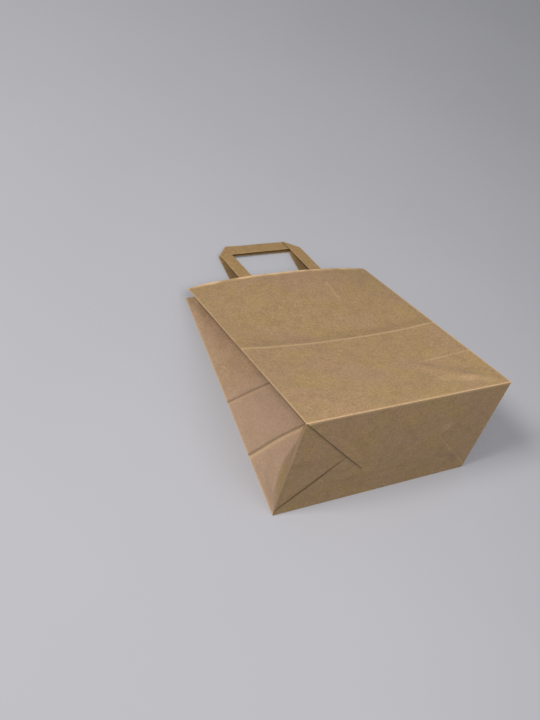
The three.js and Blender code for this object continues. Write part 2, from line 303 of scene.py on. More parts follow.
def middle_crease(s):
    """The gusset's middle crease: both halves keep their width, so it moves inwards as the
    long edges come together, and it lies behind the line between them by a setback."""
    s = np.asarray(s, float)
    back = points_of(0 * s, s, 0 * s)
    front = front_edge(s)
    fold_point = GUSSET_HALF * (1 - math.sin(HALF_WEDGE)) / math.cos(HALF_WEDGE)
    fold_setback = GUSSET_HALF * math.cos(HALF_WEDGE) - fold_point
    rise = (s - GUSSET_HALF) / (BAG_HEIGHT - GUSSET_HALF)
    setback = mix(fold_setback, CREASE_SETBACK, rise)
    half_gap = np.linalg.norm(front - back, axis=-1) / 2
    inward = np.sqrt(np.maximum(GUSSET_HALF**2 - half_gap**2 - setback**2, 1))
    shift = points_of(inward, -setback * math.cos(HALF_WEDGE), setback * math.sin(HALF_WEDGE))
    return (back + front) / 2 + shift


APEX = middle_crease(np.array([GUSSET_HALF]))[0]


def gusset_plain(u, s):
    """Back half of the left gusset, before its creases are eased.

    Above the low crease it is ruled from the back edge to the middle crease, with a swell that
    is a sine both ways. Below, it is the flat triangle beside the back edge where u is under
    s, and the flat triangle beside the base where u is over s.
    """
    s_up = np.maximum(s, GUSSET_HALF)
    t = (u / GUSSET_HALF)[..., None]
    back = points_of(0 * s, s_up, 0 * s)
    rise = (s_up - GUSSET_HALF) / (BAG_HEIGHT - GUSSET_HALF)
    swell = GUSSET_SWELL * np.sin(np.pi * u / GUSSET_HALF) * np.sin(np.pi * rise)
    upper = back * (1 - t) + middle_crease(s_up) * t + points_of(0 * s, 0 * s, swell)
    back_corner = np.array([0.0, GUSSET_HALF, 0.0])
    beside_back = points_of(0 * s, s, 0 * s) + u[..., None] * (APEX - back_corner) / GUSSET_HALF
    up = (APEX - GUSSET_HALF * UP_BASE) / GUSSET_HALF
    beside_base = u[..., None] * UP_BASE + s[..., None] * up
    lower = np.where((u <= s)[..., None], beside_back, beside_base)
    return np.where((s >= GUSSET_HALF)[..., None], upper, lower)


def gusset_outward(u, s):
    """Unit normals out of the plain gusset, crossed from short steps along u and s."""
    u_low, u_high = np.maximum(u - NORMAL_STEP, 0), np.minimum(u + NORMAL_STEP, GUSSET_HALF)
    s_low, s_high = np.maximum(s - NORMAL_STEP, 0), np.minimum(s + NORMAL_STEP, BAG_HEIGHT)
    out = np.cross(
        gusset_plain(u_high, s) - gusset_plain(u_low, s),
        gusset_plain(u, s_high) - gusset_plain(u, s_low),
    )
    return out / np.maximum(np.linalg.norm(out, axis=-1, keepdims=True), 1e-9)


def diagonal_roll(u, s):
    """How far the 45 degree fold rolls out, as a share of the roll's height.

    Near the back corner it is a bell curve of the distance from the fold, and further in a
    crease with a true edge. It lies down again at the long edge, the base and the middle.
    """
    off = (s - u) / math.sqrt(2)
    along = np.clip((s + u) / 2 / GUSSET_HALF, 0, 1)
    rolled = bell(off, ROLL_SOFTNESS) * np.sin(np.pi * np.clip(along * ROLL_REACH, 0, 1))
    sharp = crease(off, SHARP_FOLD) * smooth(along * 2.5 - 0.6)
    rims = smooth(np.minimum(u, s) / ROLL_RIM) * smooth((GUSSET_HALF - u) / ROLL_RIM)
    return (rolled + sharp) * rims


def gusset_half(u, s, ridges, seed, roll):
    """Back half of the left gusset with its paper shape.

    Added to the plain gusset are the roll of the 45 degree fold, the two level creases, which
    are valleys, soft ridges and waves, all along its normal. Round the fold's inner end the
    paper is drawn in by a bell curve of the distance.
    """
    belt = crease(s - BELT_CREASE, GUSSET_BELT_FOLD)
    low = crease(s - GUSSET_HALF + 1, GUSSET_LOW_FOLD)
    low *= smooth((GUSSET_LOW_END - u) / GUSSET_LOW_FADE)
    waves = waviness(u, s, size=45, height=0.5, seed=seed)
    shape = belt + low + soft_ridges(ridges, u, s) + waves
    edges = smooth(from_rim(u, GUSSET_HALF) / GUSSET_RIM)
    edges *= smooth((BAG_HEIGHT - s) / GUSSET_MOUTH_RIM) * smooth(s / GUSSET_BASE_RIM)
    height = edges * shape + roll * diagonal_roll(u, s)
    from_apex = np.hypot(u - GUSSET_HALF, s - GUSSET_HALF)
    tuck = bell(from_apex, TUCK_SIZE)[..., None] * TUCK
    return gusset_plain(u, s) + height[..., None] * gusset_outward(u, s) + tuck


def right_front_half(u, s):
    """The right gusset from the front edge to its middle crease."""
    half = gusset_half(u, s, FRONT_HALF_RIDGES, seed=21, roll=FRONT_ROLL)
    return to_right(mirror_in_middle(half))


def right_back_half(u, s):
    """The right gusset from its middle crease to the back edge."""
    return to_right(gusset_half(GUSSET_HALF - u, s, RIGHT_BACK_RIDGES, seed=22, roll=BACK_ROLL))


def left_back_half(u, s):
    """The left gusset from the back edge to its middle crease."""
    return gusset_half(u, s, LEFT_BACK_RIDGES, seed=23, roll=BACK_ROLL)


def left_front_half(u, s):
    """The left gusset from its middle crease to the front edge."""
    half = gusset_half(GUSSET_HALF - u, s, FRONT_HALF_RIDGES, seed=24, roll=FRONT_ROLL)
    return mirror_in_middle(half)


# The mesh grid of the sheet. Panels are numbered round the bag from the front panel.

FRONT, RIGHT_FRONT, RIGHT_BACK, BACK, LEFT_BACK, LEFT_FRONT = range(6)
SECOND_HALVES = (RIGHT_BACK, LEFT_FRONT)
BACK_HALVES = (RIGHT_BACK, LEFT_BACK)
EDGE_STRIP = 4.0
FINE_RIDGE = (200.0, 212.0)


def girth_panels():
    """The six stretches round the bag: (columns, point function), in the order of the panels.

    Columns lie closer at the long edges and at the fine ridge on the front panel.
    """
    across = stations(
        (0, EDGE_STRIP, *FINE_RIDGE, BAG_WIDTH - EDGE_STRIP, BAG_WIDTH), (5, 40, 8, 18, 5)
    )
    into = stations((0, 3, GUSSET_HALF - EDGE_STRIP, GUSSET_HALF), (4, 30, 4))
    out_of = GUSSET_HALF - into[::-1]
    return [
        (across, front_panel),
        (into, right_front_half),
        (out_of, right_back_half),
        (BAG_WIDTH - across[::-1], lambda x, s: back_panel(BAG_WIDTH - x, s)),
        (into, left_back_half),
        (out_of, left_front_half),
    ]


def row_lines():
    """Paper distances of the mesh rows: closer at the base, the creases and the mouth."""
    low, belt, mouth = GUSSET_HALF, BELT_CREASE, BAG_HEIGHT
    return stations(
        (0, 3, low - 4, low + 6, belt - 16, belt - 8, belt - 4, belt + 6, belt + 10, belt + 18,
         mouth - 12, mouth - 4, mouth),
        (5, 30, 10, 18, 4, 4, 20, 4, 4, 34, 4, 7),
    )


# Meshes

SHARP_ANGLE = math.radians(35)


def mesh_object(name, points, quads, uv, layers):
    """A mesh object from points in the bag frame and an array of four-cornered faces."""
    mesh = bpy.data.meshes.new(name)
    row = points * MM + ORIGIN
    mesh.from_pydata(row.tolist(), [], quads.tolist())
    corners = np.empty(len(mesh.loops), dtype=np.int32)
    mesh.loops.foreach_get("vertex_index", corners)
    layer = mesh.uv_layers.new(name="paper_mm")
    layer.data.foreach_set("uv", uv[corners].ravel())
    for layer_name, values in layers.items():
        attribute = mesh.attributes.new(layer_name, "FLOAT", "POINT")
        attribute.data.foreach_set("value", values)
    mesh.validate()
    mesh.shade_smooth()
    mesh.set_sharp_from_angle(angle=SHARP_ANGLE)
    obj = bpy.data.objects.new(name, mesh)
    bpy.context.scene.collection.objects.link(obj)
    return obj


def grid_quads(rows, columns, ring=False):
    """Faces of a grid of points that is stored row by row, closed round where ring is true."""
    wide = columns if ring else columns - 1
    j, i = np.meshgrid(np.arange(rows - 1), np.arange(wide), indexing="ij")
    here = j * columns + i
    right = j * columns + (i + 1) % columns
    return np.stack([here, right, right + columns, here + columns], axis=-1).reshape(-1, 4)


def vertex_normals(points, quads):
    """Unit normals at the points, as the sum of the crossed diagonals of the faces round each."""
    corners = points[quads]
    across = np.cross(corners[:, 2] - corners[:, 0], corners[:, 3] - corners[:, 1])
    total = np.zeros_like(points)
    for k in range(4):
        np.add.at(total, quads[:, k], across)
    return total / np.maximum(np.linalg.norm(total, axis=1, keepdims=True), 1e-12)


def boundary_edges(quads):
    """Directed edges of the faces that have no partner the other way."""
    edges = np.concatenate([quads[:, [k, (k + 1) % 4]] for k in range(4)])
    span = int(quads.max()) + 1
    forward = edges[:, 0] * span + edges[:, 1]
    backward = edges[:, 1] * span + edges[:, 0]
    return edges[~np.isin(forward, backward)]


def thick_sheet(name, points, quads, thickness, uv, layers):
    """A closed sheet: the surface pushed out and in by half the thickness along its normals,
    joined at the rims."""
    points = np.asarray(points, float).reshape(-1, 3)
    half = np.broadcast_to(np.asarray(thickness, float), len(points))[:, None] / 2
    push = vertex_normals(points, quads) * half
    count = len(points)
    rims = boundary_edges(quads)
    sides = np.stack([rims[:, 1], rims[:, 0], rims[:, 0] + count, rims[:, 1] + count], axis=1)
    faces = np.concatenate([quads, quads[:, ::-1] + count, sides])
    both = np.concatenate([points + push, points - push])
    both_uv = np.tile(np.asarray(uv, float).reshape(-1, 2), (2, 1))
    doubled = {key: np.tile(np.ravel(value), 2).astype(float) for key, value in layers.items()}
    return mesh_object(name, both, faces, both_uv, doubled)


# Wear, painted highlights and painted shade of the sheet. A line of any of these is (strength, half
# width).

# Pale lines at the fold to the base and at the long edges: wear with a painted highlight
BASE_FOLD_WEAR_AND_HIGHLIGHT = (0.9, 1.3)
SIDE_FOLD_WEAR_AND_HIGHLIGHT = (0.55, 0.9)
BELT_WORN = (0.56, 1.25)
LOW_WORN = (0.34, 1.0)
SCRATCH_WORN = (0.16, 1.3)
SCRATCH_AT, SCRATCH_HALF = (84.0, 75.0), 14.0
FRAYED, FRAYED_VARY, FRAYED_DROP = 0.95, 1.1, 0.6
FRAYED_STRIP = 1.9
# Painted highlights along ridges of the front panel
FRONT_PAINTED_HIGHLIGHT_RIDGES = [
    ((214, 40), (290, 12), 5.0, 0.20),
    ((204, 262), (208, 306), 1.5, 0.28),
]
# Painted shade: a soft dark band above the front panel's belt crease
ABOVE_BELT_PAINTED_SHADE = (0.22, 7.0)
# Painted highlights just below the gussets' level creases
GUSSET_BELT_PAINTED_HIGHLIGHT = (0.2, 1.6)
GUSSET_LOW_PAINTED_HIGHLIGHT = (0.42, 1.8)
# Painted shade along the valleys of the gussets' level creases
GUSSET_BELT_PAINTED_SHADE = (0.7, 1.3)
GUSSET_LOW_PAINTED_SHADE = (0.8, 1.2)
# Painted shade towards the inner end of each gusset, beside the base
INNER_FOLD_PAINTED_SHADE = 0.3


def line(off, style):
    """A line on the paper: its strength times a bell curve of the distance from it."""
    strength, width = style
    return strength * bell(off, width)


def front_wear_and_painted_light(x, s):
    """Wear, painted highlights and painted shade on the front panel.

    Pale lines follow the fold at the base and the long edges, which are wear with a painted
    highlight, and the belt crease, the low crease on the right and a short scratch. A strip at
    the mouth is frayed unevenly, by sine waves, and less so on the right. Painted highlights lie
    along two ridges, and a soft painted shade band lies above the belt crease.
    """
    belt = belt_line(x)
    # Wear with a painted highlight at the fold to the base and at the long edges
    wear_and_highlight = line(s - 0.2, BASE_FOLD_WEAR_AND_HIGHLIGHT) + line(from_rim(x, BAG_WIDTH) - 0.4, SIDE_FOLD_WEAR_AND_HIGHLIGHT)
    wear_and_highlight += line(s - belt, BELT_WORN)
    wear_and_highlight += line(s - LOW_LINE, LOW_WORN) * smooth((x - 205) / 40)
    wear_and_highlight += line(s - SCRATCH_AT[1], SCRATCH_WORN) * bell(x - SCRATCH_AT[0], SCRATCH_HALF)
    frayed = FRAYED + FRAYED_VARY * waviness(x, 0 * x, size=24, height=1.0, seed=77)
    frayed -= FRAYED_DROP * smooth((x - 215) / 30)
    wear_and_highlight += frayed * bell(s - BAG_HEIGHT + 0.9, FRAYED_STRIP)
    # Painted highlights along two ridges
    wear_and_highlight += soft_ridges(FRONT_PAINTED_HIGHLIGHT_RIDGES, x, s)
    # Painted shade above the belt crease
    return wear_and_highlight, line(s - belt - 9, ABOVE_BELT_PAINTED_SHADE)


def gusset_wear_and_painted_light(near, s):
    """Wear, painted highlights and painted shade on a gusset, with near the distance from the
    nearer long edge.

    The long edges are pale, wear with a painted highlight. Each level crease has painted shade
    along its valley and a painted highlight just below it.
    """
    wear_and_highlight = line(near, SIDE_FOLD_WEAR_AND_HIGHLIGHT)
    # Painted highlights just below the level creases
    wear_and_highlight += line(s - BELT_CREASE + 2.2, GUSSET_BELT_PAINTED_HIGHLIGHT)
    wear_and_highlight += line(s - GUSSET_HALF + 3, GUSSET_LOW_PAINTED_HIGHLIGHT)
    # Painted shade along the level creases' valleys
    dark = line(s - BELT_CREASE - 1.2, GUSSET_BELT_PAINTED_SHADE)
    dark += line(s - GUSSET_HALF - 1.2, GUSSET_LOW_PAINTED_SHADE)
    return wear_and_highlight, dark


def bag_layers(place, s, panel):
    """The sheet's layers: wear with painted highlights, painted shade, and painted light on the
    gussets' back halves, which is a lighter, pinker tone.

    The painted light fades upwards, and beside the base it ends just past the 45 degree fold.
    There painted shade darkens the paper towards the inner end of the gusset instead.
    """
    gusset = (panel != FRONT) & (panel != BACK)
    back_half = np.isin(panel, BACK_HALVES)
    near = from_rim(place, 2 * GUSSET_HALF)
    front_wear_and_highlight, front_painted_shade = front_wear_and_painted_light(place, s)
    gusset_wear_and_highlight, gusset_painted_shade = gusset_wear_and_painted_light(near, s)
    # Painted shade towards the gusset's inner end
    inner_fold_shade_mask = smooth((near - s) / 34) * smooth((GUSSET_HALF - s) / 20)
    # Painted light: a lighter, pinker tone on the gussets' back halves, fading upwards
    tone = 0.85 * back_half * (1 - 0.45 * smooth((s - 140) / 80))
    return {
        "wear_and_highlight": front_wear_and_highlight * (panel == FRONT) + gusset_wear_and_highlight * gusset,
        "dark": (
            front_painted_shade * (panel == FRONT) + gusset_painted_shade * gusset
            + INNER_FOLD_PAINTED_SHADE * back_half * inner_fold_shade_mask
        ),
        "gusset_painted_light": tone * smooth((s - near) / 8 + 2),
    }


# The sheet

def tube_grid(panels, rows):
    """The tube's grid, row by row: points, paper map, panel number and place in the panel. The
    place is x on a panel, and runs on from one half to the other on a gusset."""
    points, uvs, numbers, places = [], [], [], []
    around = 0.0
    for number, (columns, surface) in enumerate(panels):
        x, s = np.meshgrid(columns[:-1], rows)
        points.append(surface(x, s))
        uvs.append(np.stack([x + around, s], axis=-1))
        numbers.append(np.full(x.shape, number))
        places.append(x + GUSSET_HALF * (number in SECOND_HALVES))
        around += columns[-1]
    return [np.concatenate(parts, axis=1) for parts in (points, uvs, numbers, places)]


def base_grid(wide, tall, first_new):
    """Point numbers of the base's grid, and where they are new. The rim is the first row of
    the tube, and the points inside it are numbered from first_new."""
    rim = np.arange(2 * (wide + tall))
    grid = np.full((tall + 1, wide + 1), -1)
    grid[tall, :] = rim[:wide + 1]
    grid[::-1, wide] = rim[wide:wide + tall + 1]
    grid[0, ::-1] = rim[wide + tall:2 * wide + tall + 1]
    grid[:-1, 0] = rim[2 * wide + tall:]
    new = grid < 0
    grid[new] = first_new + np.arange(new.sum())
    return grid, new


def build_bag_sheet():
    """The tube of the bag with its innermost base layer, as one closed sheet."""
    panels, rows = girth_panels(), row_lines()
    tube, uv, panel, place = tube_grid(panels, rows)
    layers = bag_layers(place, uv[..., 1], panel)
    steps = [len(columns) - 1 for columns, surface in panels]
    wide, tall = steps[FRONT], steps[RIGHT_FRONT] + steps[RIGHT_BACK]
    grid, new = base_grid(wide, tall, first_new=panel.size)
    bottom = tube[0]
    right_side = bottom[wide:wide + tall + 1][::-1]
    up = np.linalg.norm(right_side - right_side[0], axis=-1)
    v, x = np.meshgrid(up, bottom[:wide + 1, 0], indexing="ij")
    base = on_base(x, v, base_bulge(x, v))
    base_quads = grid.ravel()[grid_quads(*grid.shape)]
    base_layers = {"wear_and_highlight": 0 * x, "dark": middle_dark(x, v), "gusset_painted_light": 0 * x}
    tube_quads = grid_quads(len(rows), tube.shape[1], ring=True)
    return thick_sheet(
        "bag_sheet",
        np.concatenate([tube.reshape(-1, 3), base[new]]),
        np.concatenate([tube_quads, base_quads]),
        PAPER,
        np.concatenate([uv.reshape(-1, 2), np.stack([x, -v], axis=-1)[new]]),
        {key: np.concatenate([layers[key].ravel(), base_layers[key][new]]) for key in layers},
    )


# The block bottom

# A flap's length from hinge to free edge, where its slant starts, the lift of its left edge
# with the place, run and power of the lift's sine, and the strength of the painted shadow along
# that edge
Flap = namedtuple("Flap", "length slant_start lift lift_start lift_run lift_power edge_dark")
FRONT_FLAP = Flap(112.0, 0.0, 1.5, 0.06, 0.9, 0.6, edge_dark=1.3)
BACK_FLAP = Flap(100.0, 9.0, 1.35, 0.0, 1.12, 0.8, edge_dark=0.6)
LIFT_WIDTH = 9.0
RIGHT_LIFT, RIGHT_LIFT_WIDTH = 0.25, 10.0
LAYER = 1.1 * PAPER
FRONT_LAYER = 1.15 * PAPER
STEP_MARGIN, STEP_RAMP = 2.0, 5.0
HINGE_RUN = 40
BASE_RIM_X, BASE_RIM_V = 14.0, 10.0
BASE_SWELL = 0.5
BASE_RIDGES = [
    ((20, 90), (68, 90), 3.0, 0.35),
    ((222, 107), (278, 84), 7.0, 0.8),
    ((40, 32), (280, 32), 5.0, -0.5),
    ((120, 120), (250, 132), 16.0, 0.5),
]
# A painted highlight along a ridge of the base
BASE_PAINTED_HIGHLIGHT_RIDGES = [((222, 107), (278, 84), 6.0, 0.16)]
SHEET_RIDGE_SHARE, FLAP_RIDGE_SHARE = 0.35, 0.65
# Pale line at the front flap's hinge, wear with a painted highlight; painted highlights at the
# flaps' free edge and the back flap's right edge
HINGE_WEAR_AND_HIGHLIGHT = (0.75, 1.6)
FREE_EDGE_PAINTED_HIGHLIGHT = (0.22, 0.7)
RIGHT_EDGE_PAINTED_HIGHLIGHT = (0.3, 1.0)
# Painted shade along a valley of the back flap, and the width of the painted shadow along the
# flaps' left edges
BACK_FLAP_PAINTED_SHADE = (0.25, 7.0)
EDGE_PAINTED_SHADOW_WIDTH = 0.8
MIDDLE_DARK = (0.15, 5.0)


def on_base(x, v, height):
    """Points at a height over the plane of the base."""
    return x[..., None] * X_AXIS + v[..., None] * UP_BASE + height[..., None] * OUT_OF_BASE


def base_bulge(x, v):
    """The base swells outwards a little and keeps soft ridges, and is flat at its rim."""
    rim = smooth(from_rim(x, BAG_WIDTH) / BASE_RIM_X) * smooth(from_rim(v, BAG_DEPTH) / BASE_RIM_V)
    swell = BASE_SWELL * np.sin(np.pi * x / BAG_WIDTH) * np.sin(np.pi * v / BAG_DEPTH)
    ridges = SHEET_RIDGE_SHARE * soft_ridges(BASE_RIDGES, x, v)
    waves = waviness(x, v, size=60, height=0.15, seed=31)
    return rim * (swell + ridges + waves) - rim * BASE_SWELL


def middle_dark(x, v):
    """A soft dark band where the left gusset's middle crease runs on into the base."""
    return line(v - 92, MIDDLE_DARK) * (x < 90)


def flap_outline(flap, along, t):
    """Places on a flap: along runs from the hinge to the free edge, and t across it. Gives x,
    the distance from the hinge and the distance by which the sides slant in."""
    reach = along * flap.length
    slant = np.maximum(reach - flap.slant_start, 0)
    return mix(slant, BAG_WIDTH - slant, t), reach, slant


def flap_lift(flap, along, t, from_edge):
    """How far a flap's slanted edges stand off the layers below them.

    The left edge's lift is a power of a sine along the flap, and fades within a couple of
    centimetres by a bell curve. The right edge has a slight one.
    """
    run = np.clip(flap.lift_start + along * flap.lift_run, 0, 1)
    left = flap.lift * np.sin(np.pi * run) ** flap.lift_power * bell(from_edge, LIFT_WIDTH)
    right = RIGHT_LIFT * np.sin(np.pi * along) * bell((1 - t) * BAG_WIDTH, RIGHT_LIFT_WIDTH)
    return left + right


def flap_stack(flap, x, v):
    """Height of the layers under a flap. The front flap steps up by a smooth ramp where it
    covers the back flap."""
    if flap is BACK_FLAP:
        return LAYER + 0 * x
    start = BACK_FLAP.slant_start + STEP_MARGIN
    over_free_edge = smooth((BACK_FLAP.length + 3 - v) / STEP_RAMP)
    over_left = smooth((x - v + start) / STEP_RAMP)
    over_right = smooth((BAG_WIDTH + start - v - x) / STEP_RAMP)
    return FRONT_LAYER + LAYER * over_free_edge * over_left * over_right


def flap_layers(flap, along, t, x, v):
    """Wear, painted highlights and painted shadow on a flap: pale lines at its hinge, which are
    wear with a painted highlight, and painted highlights at its free edge, its right slanted edge
    and a ridge. The painted shadow line at the left slanted edge narrows along both flaps as the
    front flap does; the back flap also has a painted shade band along a valley."""
    # Painted highlights at the free edge and along a ridge
    wear_and_highlight = line((1 - along) * FRONT_FLAP.length, FREE_EDGE_PAINTED_HIGHLIGHT)
    wear_and_highlight += soft_ridges(BASE_PAINTED_HIGHLIGHT_RIDGES, x, v)
    from_left = t * (BAG_WIDTH - 2 * along * FRONT_FLAP.length)
    # Painted shadow along the flap's left slanted edge
    dark = flap.edge_dark * bell(from_left - 0.3, EDGE_PAINTED_SHADOW_WIDTH)
    if flap is FRONT_FLAP:
        # At the front flap's hinge: wear with a painted highlight
        wear_and_highlight += line(BAG_DEPTH - v, HINGE_WEAR_AND_HIGHLIGHT)
    else:
        # At the back flap's right edge: a painted highlight
        wear_and_highlight += line((1 - t) * 100, RIGHT_EDGE_PAINTED_HIGHLIGHT) * smooth(along * 8)
        # Painted shade along a valley of the back flap
        dark += line(v - 32, BACK_FLAP_PAINTED_SHADE) * smooth((x - 30) / 60)
    return {"wear_and_highlight": wear_and_highlight, "dark": dark}


def build_base_flap(name, flap):
    """One base flap as a closed sheet over the layers under it.

    Its surface is the swollen base, plus its place in the stack, plus the lift of its edges
    and its share of the ridges, both of which start at the hinge by a smooth step.
    """
    along_steps = stations((0, 0.02, 0.97, 1), (3, 44, 4))
    across_steps = stations((0, 0.01, 0.12, 0.9, 1), (4, 12, 44, 12))
    t, along = np.meshgrid(across_steps, along_steps)
    x, reach, slant = flap_outline(flap, along, t)
    quads = grid_quads(*x.shape)
    if flap is FRONT_FLAP:
        v = BAG_DEPTH - reach
        quads = quads[:, ::-1]
    else:
        v = reach
    lift = flap_lift(flap, along, t, x - slant)
    ridges = FLAP_RIDGE_SHARE * soft_ridges(BASE_RIDGES, x, v)
    height = base_bulge(x, v) + flap_stack(flap, x, v) + (lift + ridges) * smooth(along * HINGE_RUN)
    uv = np.stack([x, -v], axis=-1)
    layers = flap_layers(flap, along, t, x, v)
    return thick_sheet(name, on_base(x, v, height), quads, PAPER, uv, layers)


SEAM_OVERLAP, SEAM_INSET = 18.0, 6.0
SEAM_HEIGHT = 1.2 * PAPER


def build_seam_flap():
    """The glued seam up the tube, a strip on the inside of the back panel."""
    columns = stations((SEAM_INSET, SEAM_INSET + SEAM_OVERLAP), (8,))
    rows = stations((SEAM_INSET, BAG_HEIGHT - PATCH_INSET), (60,))
    x, s = np.meshgrid(columns, rows)
    points = back_panel(x, s) + [0, 0, SEAM_HEIGHT]
    uv = np.stack([x, s], axis=-1)
    layers = {"wear_and_highlight": 0 * x, "dark": 0 * x}
    return thick_sheet("seam_flap", points, grid_quads(*x.shape), PAPER, uv, layers)


# Handles

DROOP_TRIES = 40


def front_droop():
    """The angle at which the front handle's bar comes down onto the back handle's bar, found
    by halving the range."""
    bar = (MID_X, FRONT_HANDLE.rise, 2 * TAPE_THICKNESS)
    rest = place_on_back(*bar)[2] + CLEARANCE
    low, high = 0.0, PANEL_SLOPE * 0.99
    for attempt in range(DROOP_TRIES):
        droop = (low + high) / 2
        if place_on_front(*bar, droop)[2] > rest:
            low = droop
        else:
            high = droop
    return low


def tilted(handle, x, r):
    """r with the bar's tilt, which grows along the legs: one leg is a little the longer."""
    return r + handle.tilt * (x - MID_X) * np.clip(r / (handle.rise - TAPE_WIDTH), 0, 1)


def leaned(handle, x, r):
    """x with the handle's lean, which grows evenly from the mouth."""
    return x + handle.lean * np.maximum(r, 0) / handle.rise


def place_on_back(x, r, q):
    """A point of the back handle: r past the mouth edge and q above the back panel."""
    x, r, q = (np.asarray(value, float) for value in (x, r, q))
    r = tilted(BACK_HANDLE, x, r)
    return points_of(leaned(BACK_HANDLE, x, r), BAG_HEIGHT + r, PAPER / 2 + CLEARANCE + q)


def place_on_front(x, r, q, droop=None):
    """A point of the front handle: inside the bag it follows the panel, at the mouth it turns
    on an arc from the panel's slope to its own droop, and then it runs straight."""
    x, r, q = (np.asarray(value, float) for value in (x, r, q))
    droop = DROOP if droop is None else droop
    r = tilted(FRONT_HANDLE, x, r)
    turned = np.clip(r, 0, MOUTH_BEND) / MOUTH_BEND
    angle = mix(PANEL_SLOPE, droop, turned)
    radius = MOUTH_BEND / (PANEL_SLOPE - droop)
    bent = r > 0
    straight = np.where(bent, np.maximum(r - MOUTH_BEND, 0), r)
    out = bent * radius * (math.sin(PANEL_SLOPE) - np.sin(angle)) + straight * np.cos(angle)
    down = bent * radius * (np.cos(angle) - math.cos(PANEL_SLOPE)) + straight * np.sin(angle)
    panel_bow = front_bow(x, BAG_HEIGHT + np.minimum(r, 0))
    bar_bow = front_bow(MID_X + HANDLE_SPAN / 2 - TAPE_WIDTH / 2, BAG_HEIGHT)
    bow = mix(panel_bow, bar_bow, smooth(r / (FRONT_HANDLE.rise - TAPE_WIDTH)))
    lift = bow - PAPER / 2 - CLEARANCE - q
    edge = front_edge(BAG_HEIGHT)
    y = edge[1] + out + lift * np.sin(angle)
    z = edge[2] - down + lift * np.cos(angle)
    return points_of(leaned(FRONT_HANDLE, x, r), y, z)


DROOP = front_droop()

# Fractions across the tape, close at its edges, and along a leg, a bar and a fold
TAPE_ACROSS = np.array(
    [0, 0.006, 0.02, 0.045, 0.09, 0.2, 0.35, 0.5, 0.56, 0.6, 0.75, 0.91, 0.955, 0.98, 0.994, 1]
)
LEG_STEPS = stations((0, 0.4, 0.8, 1), (14, 20, 12))[:, None]
BAR_STEPS = stations((0, 0.15, 0.8, 1), (12, 34, 30))[:, None]
FOLD_ANGLES = np.linspace(0, math.pi, 9)[1:-1, None]


def leg_rows(x, inner, cut, low):
    """Rows up a leg that end on the 45 degree fold. The leg rises to its layer by a ramp."""
    r = mix(-LEG_GLUED, inner + cut, LEG_STEPS)
    return np.broadcast_arrays(x, r, smooth((r - inner + FOLD_RAMP) / FOLD_RAMP) * low)


def fold_rows(x, side, inner, cut, start, end):
    """Rows round a fold: half a circle, square to the fold, from one layer to the other."""
    push = TAPE_THICKNESS / 2 * np.sin(FOLD_ANGLES) / math.sqrt(2)
    q = mix(start, end, (1 - np.cos(FOLD_ANGLES)) / 2)
    return np.broadcast_arrays(x + side * push, inner + cut + push, q)


def bar_rows(left, right, inner, cut, left_layer, right_layer):
    """Rows along the bar. It comes down from the layer of each fold by a smooth step."""
    x = mix(left + cut, right - cut, BAR_STEPS)
    ramp = TAPE_WIDTH + FOLD_RAMP
    from_left = 1 - smooth((x - left - cut) / ramp)
    from_right = 1 - smooth((right - cut - x) / ramp)
    return np.broadcast_arrays(x, inner + cut, left_layer * from_left + right_layer * from_right)


def ribbon_rows(left, right, rise, under):
    """The tape's middle surface, row by row along the ribbon, as x, r and q arrays.

    The ribbon runs up the left leg, rolls over a half circle along the 45 degree fold, runs
    along the bar, rolls again and runs down the right leg. At the fold on the under side it
    passes from the lower to the upper layer. left and right are the handle's outer edges.
    """
    cut = TAPE_ACROSS * TAPE_WIDTH
    inner = rise - TAPE_WIDTH
    step = TAPE_THICKNESS
    left_low, right_low = (step, 0.0) if under == "left" else (0.0, step)
    right_leg = leg_rows(right - cut, inner, cut, right_low)
    parts = [
        leg_rows(left + cut, inner, cut, left_low),
        fold_rows(left + cut, -1, inner, cut, left_low, step - left_low),
        bar_rows(left, right, inner, cut, step - left_low, step - right_low),
        fold_rows(right - cut, 1, inner, cut, step - right_low, right_low),
        [rows[::-1] for rows in right_leg],
    ]
    return [np.concatenate(rows) for rows in zip(*parts)]


def handle_edges(handle):
    """Outer edges of a handle's legs, across the bag."""
    left = MID_X - HANDLE_SPAN / 2 + handle.shift
    return left, left + HANDLE_SPAN


# Slow waves of a tape: height, length, and how far from the mouth each starts
BAR_WAVE = (0.22, 63.0, 60.0)
LEG_WAVE = (0.18, 41.0, 20.0)
WAVE_SHARE = 0.5
TAPE_ROUNDING = 0.5
TAPE_FILL = 0.9
LEAST_EDGE = 0.04
UV_STEP = 3.2
# Pale tape edges and folds: wear with a painted highlight
TAPE_EDGE_WEAR_AND_HIGHLIGHT = (0.4, 0.45)
TAPE_FOLD_WEAR_AND_HIGHLIGHT = (0.15, 0.9)
# A painted shadow line on the front handle's bar beside its right leg, and painted shade on the
# back handle's legs
UNDER_LEG_PAINTED_SHADOW = (1.4, 0.8)
BACK_LEG_PAINTED_SHADE, BACK_LEG_FADE = 0.75, 40.0


def tape_waves(x, r, seed):
    """Slow waves of the tape in its own plane, as sines with seeded phases."""
    phases = np.random.default_rng(seed).uniform(0, 2 * math.pi, 2)
    total = 0 * x
    for (height, length, start), way, phase in zip((BAR_WAVE, LEG_WAVE), (x, r), phases):
        total += height * np.sin(2 * math.pi * way / length + phase) * smooth(r / start)
    return total


